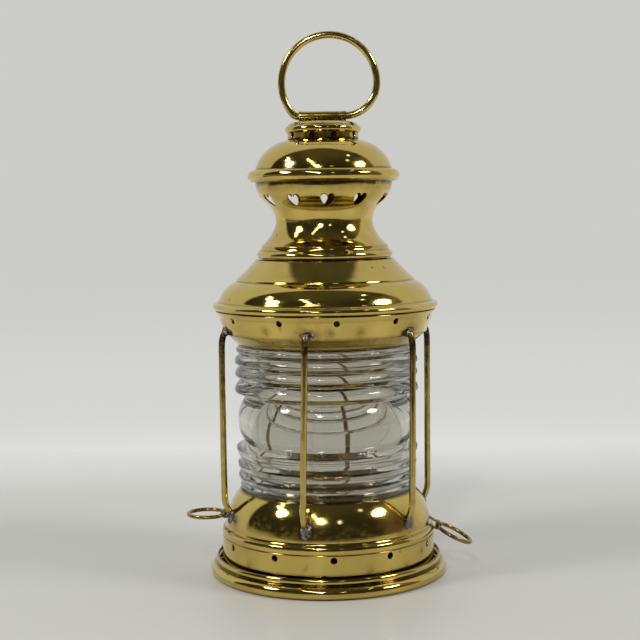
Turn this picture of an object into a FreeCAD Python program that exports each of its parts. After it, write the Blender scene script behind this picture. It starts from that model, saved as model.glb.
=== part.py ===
"""Small brass anchor lantern with a Fresnel globe, millimetres, +Z up.

The lantern is a tray (with the oil fount and burner) and a housing that lifts
off it.  Sheet parts are spun shells: an outer path of (radius, height) points
is given a wall thickness and turned about Z.  In a path, a plain pair is the
end of a straight and a pair of pairs is an arc: a point on it, then its end.
Angles around the lantern are measured from the front (-Y), positive to +X.
"""
import FreeCAD, Part
import math
import os

V = FreeCAD.Vector

# ---- driving dimensions -------------------------------------------------
SHEET = 0.8             # wall of the spun brass shells
TRAY_SHEET = 1.0        # wall of the tray
TRAY_R = 61.0           # outside of the foot bead
RIM_R = 58.2            # outside of the tray's upper bead
RIM_TOP = 10.0          # height of the tray's rim
FLOOR_TOP = 3.0         # tray floor that the housing stands on
BAND_R = 54.7           # outside of the housing's vertical band
BAND_FOOT = 3.3         # lower edge of the band
BAND_TOP = 20.6         # where the band meets its bead
LENS_BORE = 38.5        # inside of the glass
LENS_FOOT, LENS_TOP = 44.05, 117.8
SKIRT_FOOT = 124.4      # lower edge of the perforated skirt
CHIMNEY_FOOT = 162.4    # lower edge of the chimney
CAP_FOOT = 200.6        # underside of the cap's rolled bead
CROWN_FOOT = 222.15     # where the crown stands on the cap
SLEEVE_Z = 233.9        # axis of the sleeve that carries the bail
SLEEVE_R, SLEEVE_BORE = 2.45, 1.95
SLEEVE_X = (-12.2, 11.8)
BAIL_WIRE = 1.9         # radius of the bail's wire
BAIL_C, BAIL_R = (3.45, 250.4), 24.15        # centre and radius of its round
BAIL_BENDS = (3.5, 16.5)                     # left and right bend radii
GUARD_WIRE = 1.6        # radius of the guard wires
GUARD_R = 54.8          # radius the guards stand at
GUARD_FOOT, GUARD_HEAD = 32.5, 125.8
GUARD_ANGLES = ((-73.5, -73.5), (-13.1, -10.9), (49.0, 50.8),
                (105.0, 104.0), (167.0, 166.0), (-136.0, -136.0))   # foot, head
RING_WIRE, RING_R = 1.0, 9.5                 # lash ring wire and mean radii
EYE_BORE, EYE_R, EYE_W = 1.5, 2.2, 4.0       # eye of the lash straps
LASH = {"left": (-90.0, 53.5, 29.9, 0.0, (29.5, 32.5)),    # angle, pivot r and z,
        "right": (85.0, 56.5, 23.6, 27.0, (24.0, 29.5))}   # droop, heights of its root
# height, radius and angles of each row of hand-punched holes
BAND_HOLES = (18.1, 1.5, (-61.3, -29.0, 2.4, 33.2, 65.4, 98.0, 131.0, 164.0, 197.0, 230.0, 264.0))
SKIRT_HOLES = (132.4, 1.35, (-57.4, -24.4, 5.4, 38.3, 70.5, 103.0, 136.0, 169.0, 202.0, 235.0, 268.0))
CROWN_HOLES = (223.9, 1.45, (-58.4, -18.1, 17.3, 58.8, 100.0, 140.0, 180.0, 220.0, 260.0))
HEARTS = (3.2, 34.0, 71.0, 111.0, 151.5, 182.8, 212.2, 244.5, 272.0, 299.0, 332.0)
HEART_W, HEART_H, HEART_Z = 6.9, 6.1, 191.6
FOUNT_R = 36.0
NECK_R, PLUG_R = 13.9, 12.1
WICK = (12.8, 2.4, 16.0, 58.5)                # width, thickness, foot, top
TUBE = (14.6, 4.4, 0.6, 24.0, 54.0)          # width, depth, wall, foot, top
SPINDLE_Y, SPINDLE_Z, SPINDLE_R = -4.4, 38.0, 1.0
SPROCKET_R = 3.1
KNOB_X, KNOB_R = 26.0, 5.5


# ---- shape helpers ------------------------------------------------------
def point(p):
    return V(p[0], 0, p[1])


def edges(path):
    """Edges in the XZ plane for a path of straights and arcs."""
    out, here = [], path[0]
    for step in path[1:]:
        if isinstance(step[0], tuple):
            out.append(Part.Arc(point(here), point(step[0]), point(step[1])).toShape())
            here = step[1]
        else:
            out.append(Part.makeLine(point(here), point(step)))
            here = step
    return out


def turned(path):
    """Solid of revolution of a closed outline."""
    wire = Part.Wire(edges(path + [path[0]]))
    return Part.Face(wire).revolve(V(0, 0, 0), V(0, 0, 1), 360)


def normals(start, step):
    """Unit left-hand normals at the start, the middle and the end of one step."""
    if not isinstance(step[0], tuple):
        way = (point(step) - point(start)).normalize()
        return [V(-way.z, 0, way.x)] * 3
    mid, end = point(step[0]), point(step[1])
    centre = Part.Arc(point(start), mid, end).toShape().Curve.Center
    side = -1 if (mid - point(start)).cross(end - mid).y > 0 else 1
    return [((centre - p) * side).normalize() for p in (point(start), mid, end)]


def spun(path, wall):
    """Sheet of the given wall turned about Z, the wall lying to the left of the path."""
    spots = [path[0]] + [s[1] if isinstance(s[0], tuple) else s for s in path[1:]]
    turns = [normals(spots[k], step) for k, step in enumerate(path[1:])]
    far = []
    for k, spot in enumerate(spots):
        before = turns[k - 1][2] if k else turns[0][0]
        after = turns[k][0] if k < len(turns) else before
        mitre = (before + after) * (1.0 / (1.0 + before.dot(after)))
        moved = point(spot) + mitre * wall
        far.append((0 if spot[0] == 0 else moved.x, moved.z))
    back = [far[-1]]
    for k in range(len(path) - 1, 0, -1):
        if isinstance(path[k][0], tuple):
            mid = point(path[k][0]) + turns[k - 1][1] * wall
            back.append(((mid.x, mid.z), far[k - 1]))
        else:
            back.append(far[k - 1])
    return turned(path + back)


def filled(path):
    """Everything inside a shell's outer path, down to the axis."""
    end = path[-1][1] if isinstance(path[-1][0], tuple) else path[-1]
    top = [(0, end[1])] if end[0] > 0 else []
    return turned(path + top + [(0, path[0][1])])


def around(shape, angle):
    """Copy of a shape built at the front, carried round to an angle."""
    copy = shape.copy()
    copy.rotate(V(0, 0, 0), V(0, 0, 1), angle)
    return copy


def ring_of(tool, count, first):
    return [around(tool, first + 360.0 * k / count) for k in range(count)]


def radial_hole(r, z):
    return Part.makeCylinder(r, 80, V(0, 0, z), V(0, -1, 0))


def pierced(shell, tool, angles):
    return shell.cut(Part.Compound([around(tool, a) for a in angles]))


def cylinder_x(r, x0, x1, y, z):
    return Part.makeCylinder(r, x1 - x0, V(x0, y, z), V(1, 0, 0))


def block(width, depth, z0, z1, y=0.0):
    return Part.makeBox(width, depth, z1 - z0, V(-width / 2, y - depth / 2, z0))


def swept(path, r):
    """Round wire of radius r along a path of tangent edges."""
    spine = Part.Wire(path)
    start = spine.Edges[0]
    tangent = start.tangentAt(start.FirstParameter)
    section = Part.Wire(Part.makeCircle(r, start.valueAt(start.FirstParameter), tangent))
    return spine.makePipeShell([section], True, True)


# ---- shell outlines (outer faces) ---------------------------------------
TRAY = [(0, FLOOR_TOP - TRAY_SHEET), (52.6, FLOOR_TOP - TRAY_SHEET), (54.6, 0), (58.2, 0),
        ((TRAY_R, 3.05), (58.0, 6.1)), ((57.35, 6.4), (57.6, 6.9)),
        ((RIM_R, 8.5), (57.1, RIM_TOP))]
BASE = [(BAND_R, BAND_FOOT), (BAND_R, BAND_TOP - 0.2), (54.35, BAND_TOP),
        ((54.95, 22.6), (54.3, 24.4)), ((53.2, 25.0), (52.7, 26.4)),
        ((50.7, 35.0), (45.4, 43.5)), ((45.0, 43.9), (44.4, 44.0)), (40.5, 44.0)]
SKIRT = [(51.75, SKIRT_FOOT), (52.1, 126.0), ((53.5, 129.2), (54.5, 132.8)),
         (56.3, 135.3), ((56.4, 135.9), (55.9, 136.2)), (53.8, 136.2)]
SEAT_CONE = [(50.95, 126.4), (50.95, 124.3), (44.9, 118.3), ((44.5, 117.95), (43.9, 117.85)),
             (38.9, 117.85), (38.9, 121.0)]
ROOF = [(55.6, 136.35), ((57.65, 137.9), (56.3, 139.8)), ((55.0, 140.5), (54.4, 141.4)),
        ((51.6, 146.3), (46.3, 150.4)), ((45.6, 150.9), (45.3, 151.7)),
        ((40.7, 156.0), (35.7, 161.1)), ((35.1, 161.6), (34.3, 161.75)),
        (31.65, 161.75), (31.65, 168.0)]
CHIMNEY = [(34.1, CHIMNEY_FOOT), ((34.75, 163.6), (33.9, 165.6)), ((32.9, 166.7), (32.5, 168.5)),
           ((27.2, 174.1), (24.7, 180.5)), ((26.2, 186.1), (29.4, 190.0)),
           ((33.4, 194.8), (35.0, 200.5)), (35.0, 203.4)]
CAP = [(35.15, CAP_FOOT), ((38.75, 203.7), (34.95, 206.9)), ((33.3, 211.4), (29.6, 216.2)),
       ((25.2, 219.5), (18.6, 221.9)), ((17.6, 222.1), (15.0, 222.1))]
CROWN = [(18.1, CROWN_FOOT), (18.1, 225.2), ((19.35, 227.0), (18.2, 228.9)),
         ((16.6, 230.2), (14.2, 230.8)), (0, 231.3)]


# ---- tray and burner ----------------------------------------------------
def tray_pan():
    return spun(TRAY, TRAY_SHEET)


def tray_collar():
    """Locating ring inside the band, with four sprung tongues between slits."""
    outer, wall, top = 53.2, 0.6, 15.5
    ring = turned([(outer - wall, FLOOR_TOP), (outer, FLOOR_TOP), (outer, top), (outer - wall, top)])
    bulge = turned([(outer - 0.3, 6.5), (outer, 6.5), ((53.85, 10.0), (outer, 13.5)),
                    (outer - 0.3, 13.5)])
    tongue = block(11.0, 20.0, 0, 20, -outer).common(bulge)
    slit = block(0.8, 8.0, 6.0, 16.0, -outer)
    for shape in ring_of(tongue, 4, 45):
        ring = ring.fuse(shape)
    for side in (-6.5, 6.5):
        for cut in ring_of(around(slit, side), 4, 45):
            ring = ring.cut(cut)
    return ring


def fount_body():
    return spun([(0, FLOOR_TOP + 0.02), (33.5, FLOOR_TOP + 0.02), ((35.3, 3.9), (FOUNT_R, 5.8)),
                 (FOUNT_R, 19.0), ((34.5, 23.2), (30.5, 25.2)), (15.2, 28.5), (NECK_R, 28.5)], SHEET)


def fount_neck():
    r, spigot = PLUG_R + 0.03, NECK_R - 0.25
    return turned([(r, 27.6), (spigot, 27.6), (spigot, 28.6), (15.2, 28.6), (15.2, 30.2),
                   (NECK_R, 30.2), (NECK_R, 33.0), (r, 33.0)])


def burner_body():
    """Threaded plug and drum that carry the wick tube and the raiser spindle."""
    drum = turned([(0, 25.0), (PLUG_R, 25.0), (PLUG_R, 33.02), (15.5, 33.02), (15.5, 34.4),
                   (10.6, 34.4), (10.6, 42.6), (9.8, 42.6), (9.8, 34.6), (0, 34.6)])
    lid = turned([(0, 41.8), (9.8, 41.8), (9.8, 42.6), (0, 42.6)])
    slot = block(TUBE[0] + 0.04, TUBE[1] + 0.04, 20, 50)
    bore = cylinder_x(SPINDLE_R + 0.05, -20, 20, SPINDLE_Y, SPINDLE_Z)
    return drum.fuse(lid).removeSplitter().cut(slot).cut(bore)


def wick_tube():
    width, depth, wall, foot, top = TUBE
    tube = block(width, depth, foot, top).cut(block(width - 2 * wall, depth - 2 * wall, 0, 80))
    window = block(10.0, 3.0, SPINDLE_Z - 3.6, SPINDLE_Z + 3.6, SPINDLE_Y + 1.5)
    return tube.cut(window)


def burner_cone():
    """Slotted dome over the wick, on the burner's drum, with air holes round its foot."""
    dome = spun([(10.7, 42.7), (13.6, 42.7), (13.6, 46.5), ((11.6, 53.0), (6.2, 56.9)),
                 ((3.2, 57.7), (0, 57.9))], 0.6)
    dome = dome.cut(block(15.6, 5.4, 50, 60))
    return dome.cut(Part.Compound(ring_of(radial_hole(1.1, 45.0), 12, 15)))


def wick():
    return block(WICK[0], WICK[1], WICK[2], WICK[3])


def raiser_spindle():
    return cylinder_x(SPINDLE_R, -11.6, KNOB_X + 2.6, SPINDLE_Y, SPINDLE_Z)


def sprockets():
    """Two toothed wheels on the spindle that grip the wick's face."""
    wheels = []
    for x in (-3.5, 2.5):
        wheel = cylinder_x(SPROCKET_R, x, x + 1.0, SPINDLE_Y, SPINDLE_Z)
        for k in range(10):
            notch = cylinder_x(0.55, x - 1, x + 2, SPINDLE_Y, SPINDLE_Z + SPROCKET_R)
            notch.rotate(V(0, SPINDLE_Y, SPINDLE_Z), V(1, 0, 0), 36.0 * k + 18.0)
            wheel = wheel.cut(notch)
        wheels.append(wheel.cut(cylinder_x(SPINDLE_R, x - 1, x + 2, SPINDLE_Y, SPINDLE_Z)))
    return Part.Compound(wheels)


def raiser_knob():
    knob = cylinder_x(KNOB_R, KNOB_X, KNOB_X + 2.2, SPINDLE_Y, SPINDLE_Z)
    notch = cylinder_x(0.5, KNOB_X - 1, KNOB_X + 4, SPINDLE_Y, SPINDLE_Z + KNOB_R + 0.15)
    cuts = []
    for k in range(28):
        cut = notch.copy()
        cut.rotate(V(0, SPINDLE_Y, SPINDLE_Z), V(1, 0, 0), 360.0 * k / 28)
        cuts.append(cut)
    knob = knob.cut(Part.Compound(cuts))
    return knob.cut(cylinder_x(SPINDLE_R, KNOB_X - 1, KNOB_X + 4, SPINDLE_Y, SPINDLE_Z))


# ---- housing ------------------------------------------------------------
def base_shell():
    """Band with air holes and a thumb notch, its bead, and the domed shoulder."""
    z, r, angles = BAND_HOLES
    shell = pierced(spun(BASE, SHEET), radial_hole(r, z), angles)
    notch = radial_hole(2.1, 8.9).fuse(block(4.2, 160, 0, 8.9, -80))
    return shell.cut(around(notch, -2.5))


def lens_seat_lower():
    return turned([(37.4, 41.0), (38.2, 41.0), (38.2, 42.3), (43.6, 42.3), (43.6, 43.18),
                   (38.2, 43.18), (38.2, 48.0), (37.4, 48.0)])


def lens_seat_upper():
    return spun(SEAT_CONE, -0.6)


def lens_outline():
    """Outer face of the glass: four prism rings, a smooth belt, four prism rings."""
    upper = [(47.2, 94.8, 43.8, 100.2), (46.9, 102.9, 44.0, 107.2), (47.0, 109.3, 44.2, 113.4),
             (46.2, 115.3, 43.9, LENS_TOP)]          # tip r, z; root above it r, z
    lower = [(46.7, 65.6, 43.4, 59.7), (46.1, 57.8, 43.2, 53.2), (45.8, 51.6, 42.9, 47.6),
             (44.9, 46.4, 42.6, 44.7)]               # tip r, z; root below it r, z
    path = [(LENS_BORE, LENS_FOOT), (42.6, LENS_FOOT)]
    for tip_r, tip_z, root_r, root_z in reversed(lower):
        path += [(root_r, root_z), (((tip_r + root_r) / 2 + 0.75, (tip_z + root_z) / 2 - 0.5),
                                    (tip_r, tip_z)), (tip_r - 0.2, tip_z + 0.35)]
    path += [(41.7, 68.0), ((45.8, 79.8), (41.5, 91.8))]
    for tip_r, tip_z, root_r, root_z in upper:
        path += [(tip_r - 0.2, tip_z - 0.35), (tip_r, tip_z),
                 (((tip_r + root_r) / 2 + 0.75, (tip_z + root_z) / 2 + 0.5), (root_r, root_z))]
    return path + [(LENS_BORE, LENS_TOP)]


def fresnel_lens():
    return turned(lens_outline())


def skirt_ring():
    z, r, angles = SKIRT_HOLES
    return pierced(spun(SKIRT, 0.7), radial_hole(r, z), angles)


def roof_shell():
    return spun(ROOF, SHEET)


def heart():
    """Heart-shaped punch, point down: two lobes over a vee."""
    w, h = HEART_W / 2, HEART_H
    z0 = HEART_Z - h / 2
    lobe, shoulder = z0 + h, z0 + 0.62 * h
    pts = [V(0, 0, z0), V(w, 0, shoulder), V(w * 0.55, 0, lobe), V(0, 0, z0 + 0.76 * h),
           V(-w * 0.55, 0, lobe), V(-w, 0, shoulder)]
    sides = [Part.Arc(pts[0], V(w * 0.62, 0, z0 + 0.24 * h), pts[1]).toShape(),
             Part.Arc(pts[1], V(w * 0.93, 0, z0 + 0.9 * h), pts[2]).toShape(),
             Part.Arc(pts[2], V(w * 0.17, 0, z0 + 0.93 * h), pts[3]).toShape(),
             Part.Arc(pts[3], V(-w * 0.17, 0, z0 + 0.93 * h), pts[4]).toShape(),
             Part.Arc(pts[4], V(-w * 0.93, 0, z0 + 0.9 * h), pts[5]).toShape(),
             Part.Arc(pts[5], V(-w * 0.62, 0, z0 + 0.24 * h), pts[0]).toShape()]
    return Part.Face(Part.Wire(sides)).extrude(V(0, -60, 0))


def chimney():
    return pierced(spun(CHIMNEY, SHEET), heart(), HEARTS)


def cap_dome():
    return spun(CAP, SHEET)


def crown_collar():
    z, r, angles = CROWN_HOLES
    return pierced(spun(CROWN, 0.7), radial_hole(r, z), angles)


def bail_sleeve():
    x0, x1 = SLEEVE_X
    tube = cylinder_x(SLEEVE_R, x0, x1, 0, SLEEVE_Z)
    return tube.cut(cylinder_x(SLEEVE_BORE, x0 - 1, x1 + 1, 0, SLEEVE_Z))


def sleeve_solder():
    """Fillet of solder that holds the sleeve down on the crown."""
    x0, x1 = SLEEVE_X
    fillet = Part.makeBox(x1 - x0 - 2, 3.6, 2.6, V(x0 + 1, -1.8, 230.0))
    return fillet.cut(cylinder_x(SLEEVE_R, x0 - 1, x1 + 1, 0, SLEEVE_Z)).cut(filled(CROWN))


def bail_ring():
    """D-shaped wire: straight through the sleeve, sharp left bend, easy right bend."""
    (cx, cz), big = BAIL_C, BAIL_R
    joins = []
    for side, bend in zip((-1, 1), BAIL_BENDS):
        fz = SLEEVE_Z + bend
        fx = cx + side * math.sqrt((big - bend) ** 2 - (cz - fz) ** 2)
        on_line, centre = V(fx, 0, SLEEVE_Z), V(fx, 0, fz)
        out = (centre - V(cx, 0, cz)).normalize()
        on_round = V(cx, 0, cz) + out * big
        turn = (out + V(0, 0, -1)).normalize()
        joins.append((on_line, centre + turn * bend, on_round))
    left, right = joins
    top = V(cx, 0, cz + big)
    return swept([Part.makeLine(left[0], right[0]), Part.Arc(*right).toShape(),
                  Part.Arc(right[2], top, left[2]).toShape(),
                  Part.Arc(left[2], left[1], left[0]).toShape()], BAIL_WIRE)


def guard_wire(foot_angle, head_angle):
    """Upright wire, bent in at both ends to meet the shoulder and the skirt."""
    def at(r, z):
        share = (z - GUARD_FOOT) / (GUARD_HEAD - GUARD_FOOT)
        a = math.radians(foot_angle + (head_angle - foot_angle) * share)
        return V(r * math.sin(a), -r * math.cos(a), z)
    foot = Part.BezierCurve()
    foot.setPoles([at(50.4, GUARD_FOOT - 0.6), at(GUARD_R, 36.2), at(GUARD_R, 43.0)])
    head = Part.BezierCurve()
    head.setPoles([at(GUARD_R, 117.0), at(GUARD_R, 123.2), at(53.0, GUARD_HEAD)])
    spine = [foot.toShape(), Part.makeLine(at(GUARD_R, 43.0), at(GUARD_R, 117.0)), head.toShape()]
    return swept(spine, GUARD_WIRE).cut(filled(BASE)).cut(filled(SKIRT))


def guard_solder(r, z, size, body, wires):
    """Lump of solder round each guard's end, outside the shell it is joined to."""
    lumps = []
    for wire, (foot, head) in zip(wires, GUARD_ANGLES):
        angle = math.radians((foot if z < 80 else head) + 1.2)
        lump = Part.makeSphere(size, V(r * math.sin(angle), -r * math.cos(angle), z))
        lumps.append(lump.cut(wire).cut(body))
    return Part.Compound(lumps)


def lash_parts(side):
    """Ring and folded strap of one side, as (ring, strap)."""
    angle, r, z, droop, (low, high) = LASH[side]
    ring = Part.makeTorus(RING_R, RING_WIRE, V(0, -r - RING_R, z), V(0, 0, 1))
    ring.rotate(V(0, -r, z), V(1, 0, 0), droop)
    root = 50.0
    nose = Part.makeCylinder(EYE_R, EYE_W, V(-EYE_W / 2, -r, z), V(1, 0, 0))
    flank = Part.Face(Part.makePolygon([V(-EYE_W / 2, -root, low), V(-EYE_W / 2, -root, high),
                                        V(-EYE_W / 2, -r - 0.6, z + EYE_R * 0.96),
                                        V(-EYE_W / 2, -r + 0.6, z - EYE_R * 0.96),
                                        V(-EYE_W / 2, -root, low)])).extrude(V(EYE_W, 0, 0))
    bore = Part.makeCylinder(EYE_BORE, EYE_W + 2, V(-EYE_W / 2 - 1, -r, z), V(1, 0, 0))
    strap = nose.fuse(flank).removeSplitter().cut(filled(BASE)).cut(bore)
    return around(ring, angle), around(strap, angle)


# ---- export -------------------------------------------------------------
def build():
    parts = {}
    for make in (tray_pan, tray_collar, fount_body, fount_neck, burner_body, wick_tube,
                 burner_cone, wick, raiser_spindle, raiser_knob, sprockets, base_shell,
                 lens_seat_lower, lens_seat_upper, fresnel_lens, skirt_ring, roof_shell,
                 chimney, cap_dome, crown_collar, bail_sleeve, sleeve_solder, bail_ring):
        parts[make.__name__] = make()
    wires = [guard_wire(foot, head) for foot, head in GUARD_ANGLES]
    for k, wire in enumerate(wires, 1):
        parts["guard_wire_%d" % k] = wire
    parts["guard_solder_lower"] = guard_solder(51.0, 32.0, 3.2, filled(BASE), wires)
    top = filled(SKIRT).fuse(parts["lens_seat_upper"])
    parts["guard_solder_upper"] = guard_solder(51.9, 126.2, 2.7, top, wires)
    for side in LASH:
        parts["lash_ring_" + side], parts["lash_strap_" + side] = lash_parts(side)
    return parts


os.makedirs("parts", exist_ok=True)
for node, shape in build().items():
    shape.exportStep("parts/%s.step" % node)
    print("%-20s solids %d valid %s vol %.0f" % (node, len(shape.Solids), shape.isValid(), shape.Volume))
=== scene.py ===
"""Small brass anchor lantern: the visual model, in metres, in the CAD frame.

Shells are outer paths of (radius, height) in millimetres, given a wall and turned
about Z.  In a path a plain pair ends a straight, and a pair of pairs is an arc: a
point on it, then its end.  Angles round the lantern start at the front (-Y) and
run towards +X.
"""

import math

import bmesh
import bpy
import numpy as np
from mathutils import Matrix, Vector, noise

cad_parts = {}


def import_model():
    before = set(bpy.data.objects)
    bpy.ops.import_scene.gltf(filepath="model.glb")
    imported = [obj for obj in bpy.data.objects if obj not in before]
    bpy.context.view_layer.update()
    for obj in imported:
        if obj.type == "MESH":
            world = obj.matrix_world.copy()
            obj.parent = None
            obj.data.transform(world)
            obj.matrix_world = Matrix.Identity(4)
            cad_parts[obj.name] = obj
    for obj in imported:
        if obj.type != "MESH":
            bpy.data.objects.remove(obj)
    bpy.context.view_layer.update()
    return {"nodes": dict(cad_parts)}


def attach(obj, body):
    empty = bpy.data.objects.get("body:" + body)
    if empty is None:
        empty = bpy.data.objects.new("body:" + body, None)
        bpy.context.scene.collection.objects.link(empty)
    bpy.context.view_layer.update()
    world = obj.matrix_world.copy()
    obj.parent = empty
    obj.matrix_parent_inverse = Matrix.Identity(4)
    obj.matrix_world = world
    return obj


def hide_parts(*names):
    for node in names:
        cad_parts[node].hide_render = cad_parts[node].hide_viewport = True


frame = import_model()
MM = 0.001
UP = Vector((0, 0, 1))

# ---- sizes, mm -----------------------------------------------------------
BAND_R, SLEEVE_Z = 54.7, 233.9
GUARD_R, GUARD_WIRE, GUARD_FOOT, GUARD_HEAD = 54.8, 1.6, 32.5, 125.8
GUARDS = ((-73.5, -73.5), (-13.1, -10.9), (49.0, 50.8), (105.0, 104.0), (167.0, 166.0),
          (-136.0, -136.0))
LASH = {"left": (-90.0, 53.5, 29.9, 0.0, (29.5, 32.5)),
        "right": (85.0, 56.5, 23.6, 27.0, (24.0, 29.5))}
BAND_HOLES = (-61.3, -29.0, 2.4, 33.2, 65.4, 98.0, 131.0, 164.0, 197.0, 230.0, 264.0)
SKIRT_HOLES = (-57.4, -24.4, 5.4, 38.3, 70.5, 103.0, 136.0, 169.0, 202.0, 235.0, 268.0)
CROWN_HOLES = (-58.4, -18.1, 17.3, 58.8, 100.0, 140.0, 180.0, 220.0, 260.0)
BAND_HOLE, SKIRT_HOLE, CROWN_HOLE = (1.5, 18.1), (1.35, 132.4), (1.45, 223.9)    # radius, height
NOTCH = (2.1, 8.9)                           # radius of its arch and height of the arch's centre
HEARTS = (3.2, 34.0, 71.0, 111.0, 151.5, 182.8, 212.2, 244.5, 272.0, 299.0, 332.0)
HEART_HALF, HEART_H, HEART_FOOT = 3.45, 6.1, 191.6 - 3.05
LENS_BORE, LENS_FOOT, LENS_TOP = 38.5, 44.05, 117.8
BAIL_C, BAIL_R, BAIL_WIRE = (3.45, 250.4), 24.15, 1.9
BAIL_BENDS = ((-1, 3.5), (1, 16.5))          # side and radius
RING_R, RING_WIRE, EYE_MID = 9.5, 1.0, 1.85
SPINDLE_Y, SPINDLE_Z = -4.4, 38.0
KNOB_R, KNOB_TEETH, KNOB_SEGS = 5.35, 28, 224

TRAY = [(0, 2.0), (52.6, 2.0), (54.6, 0), (58.2, 0), ((61.0, 3.05), (58.0, 6.1)),
        ((57.35, 6.4), (57.6, 6.9)), ((58.2, 8.5), (57.1, 10.0))]
BASE = [(BAND_R, 3.3), (BAND_R, 20.4), (54.35, 20.6), ((54.95, 22.6), (54.3, 24.4)),
        ((53.2, 25.0), (52.7, 26.4)), ((50.7, 35.0), (45.4, 43.5)), ((45.0, 43.9), (44.4, 44.0)),
        (40.5, 44.0)]
SKIRT = [(51.75, 124.4), (52.1, 126.0), ((53.5, 129.2), (54.5, 132.8)), (56.3, 135.3),
         ((56.4, 135.9), (55.9, 136.2)), (53.8, 136.2)]
SEAT_CONE = [(50.95, 126.4), (50.95, 124.3), (44.9, 118.3), ((44.5, 117.95), (43.9, 117.85)),
             (38.9, 117.85), (38.9, 121.0)]
ROOF = [(55.6, 136.35), ((57.65, 137.9), (56.3, 139.8)), ((55.0, 140.5), (54.4, 141.4)),
        ((51.6, 146.3), (46.3, 150.4)), ((45.6, 150.9), (45.3, 151.7)),
        ((40.7, 156.0), (35.7, 161.1)), ((35.1, 161.6), (34.3, 161.75)), (31.65, 161.75),
        (31.65, 168.0)]
CHIMNEY = [(34.1, 162.4), ((34.75, 163.6), (33.9, 165.6)), ((32.9, 166.7), (32.5, 168.5)),
           ((27.2, 174.1), (24.7, 180.5)), ((26.2, 186.1), (29.4, 190.0)),
           ((33.4, 194.8), (35.0, 200.5)), (35.0, 203.4)]
CAP = [(35.15, 200.6), ((38.75, 203.7), (34.95, 206.9)), ((33.3, 211.4), (29.6, 216.2)),
       ((25.2, 219.5), (18.6, 221.9)), ((17.6, 222.1), (15.0, 222.1))]
CROWN = [(18.1, 222.15), (18.1, 225.2), ((19.35, 227.0), (18.2, 228.9)),
         ((16.6, 230.2), (14.2, 230.8)), (0, 231.3)]


# ---- outlines ------------------------------------------------------------
def circle_centre(a, m, b):
    """Centre of the circle through three points."""
    (ax, az), (bx, bz), (cx, cz) = a, m, b
    d = 2 * (ax * (bz - cz) + bx * (cz - az) + cx * (az - bz))
    aa, bb, cc = ax * ax + az * az, bx * bx + bz * bz, cx * cx + cz * cz
    return np.array([aa * (bz - cz) + bb * (cz - az) + cc * (az - bz),
                     aa * (cx - bx) + bb * (ax - cx) + cc * (bx - ax)]) / d


def trace(path, gap=1.1):
    """Points along a path, arcs cut finely enough to reflect as curves."""
    out = [np.array(path[0], float)]
    for step in path[1:]:
        here = out[-1]
        if isinstance(step[0], tuple):
            centre = circle_centre(here, step[0], step[1])
            r = np.hypot(*(here - centre))
            t0, tm, t1 = (math.atan2(*(np.array(p) - centre)[::-1]) for p in (here, *step))
            sweep = (t1 - t0) % math.tau
            if (tm - t0) % math.tau > sweep:
                sweep -= math.tau
            n = math.ceil(abs(sweep) * max(r / gap, 14))
            out += [centre + r * np.array([math.cos(t0 + sweep * k / n), math.sin(t0 + sweep * k / n)])
                    for k in range(1, n + 1)]
        else:
            end = np.array(step, float)
            n = max(1, math.ceil(np.hypot(*(end - here)) / (2 * gap)))
            out += [here + (end - here) * k / n for k in range(1, n + 1)]
    return out


def normals(start, step):
    """Left-hand normals at the start, the middle and the end of one step."""
    start = np.array(start, float)
    if not isinstance(step[0], tuple):
        way = np.array(step) - start
        way /= np.hypot(*way)
        return [np.array([-way[1], way[0]])] * 3
    mid, end = np.array(step[0], float), np.array(step[1], float)
    centre = circle_centre(start, mid, end)
    a, b = mid - start, end - mid
    side = 1 if a[0] * b[1] - a[1] * b[0] > 0 else -1
    return [(centre - p) * side / np.hypot(*(centre - p)) for p in (start, mid, end)]


def offset(path, wall):
    """The path moved to its left by the wall, with mitred corners."""
    spots = [path[0]] + [s[1] if isinstance(s[0], tuple) else s for s in path[1:]]
    turns = [normals(spots[k], step) for k, step in enumerate(path[1:])]
    far = []
    for k, spot in enumerate(spots):
        before = turns[k - 1][2] if k else turns[0][0]
        after = turns[k][0] if k < len(turns) else before
        moved = np.array(spot) + (before + after) * wall / (1 + before @ after)
        far.append((0.0 if spot[0] == 0 else moved[0], moved[1]))
    out = [far[0]]
    for k, step in enumerate(path[1:]):
        if isinstance(step[0], tuple):
            out.append((tuple(np.array(step[0]) + turns[k][1] * wall), far[k + 1]))
        else:
            out.append(far[k + 1])
    return out


def eased(loop, reach, sharp=0.3):
    """Closed outline with its corners rounded over the given reach."""
    p = np.array(loop)
    size = np.hypot(*(np.roll(p, -1, 0) - p).T)
    p, size = p[size > 1e-6], size[size > 1e-6]
    way = (np.roll(p, -1, 0) - p) / size[:, None]
    s = np.concatenate([[0], np.cumsum(size)])
    total, ring = s[-1], np.vstack([p, p[:1]])
    turn = np.arccos(np.clip((way * np.roll(way, 1, 0)).sum(1), -1, 1))
    corners = [i for i in range(len(p)) if turn[i] > sharp and p[i][0] > 0.01]

    def at(t):
        return np.array([np.interp(t % total, s, ring[:, 0]), np.interp(t % total, s, ring[:, 1])])
    spans = []
    for k, i in enumerate(corners):
        before = (s[i] - s[corners[k - 1]]) % total or total
        after = (s[corners[(k + 1) % len(corners)]] - s[i]) % total or total
        spans.append((s[i] - min(reach, 0.45 * before), s[i] + min(reach, 0.45 * after), p[i]))
    out = []
    for i in range(len(p)):
        hit = [span for span in spans if (s[i] - span[0]) % total < span[1] - span[0]]
        if not hit:
            out.append(p[i])
        elif i in corners:
            a, c, b = at(hit[0][0]), p[i], at(hit[0][1])
            out += [a * (1 - t) ** 2 + 2 * c * t * (1 - t) + b * t * t for t in np.linspace(0, 1, 6)]
    return out


def sheet_loop(path, wall, reach=0.32):
    """Closed outline of a spun sheet, with rounded corners and edges."""
    outer, inner = trace(path), trace(offset(path, wall))
    return eased(outer + inner[::-1], reach)


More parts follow.
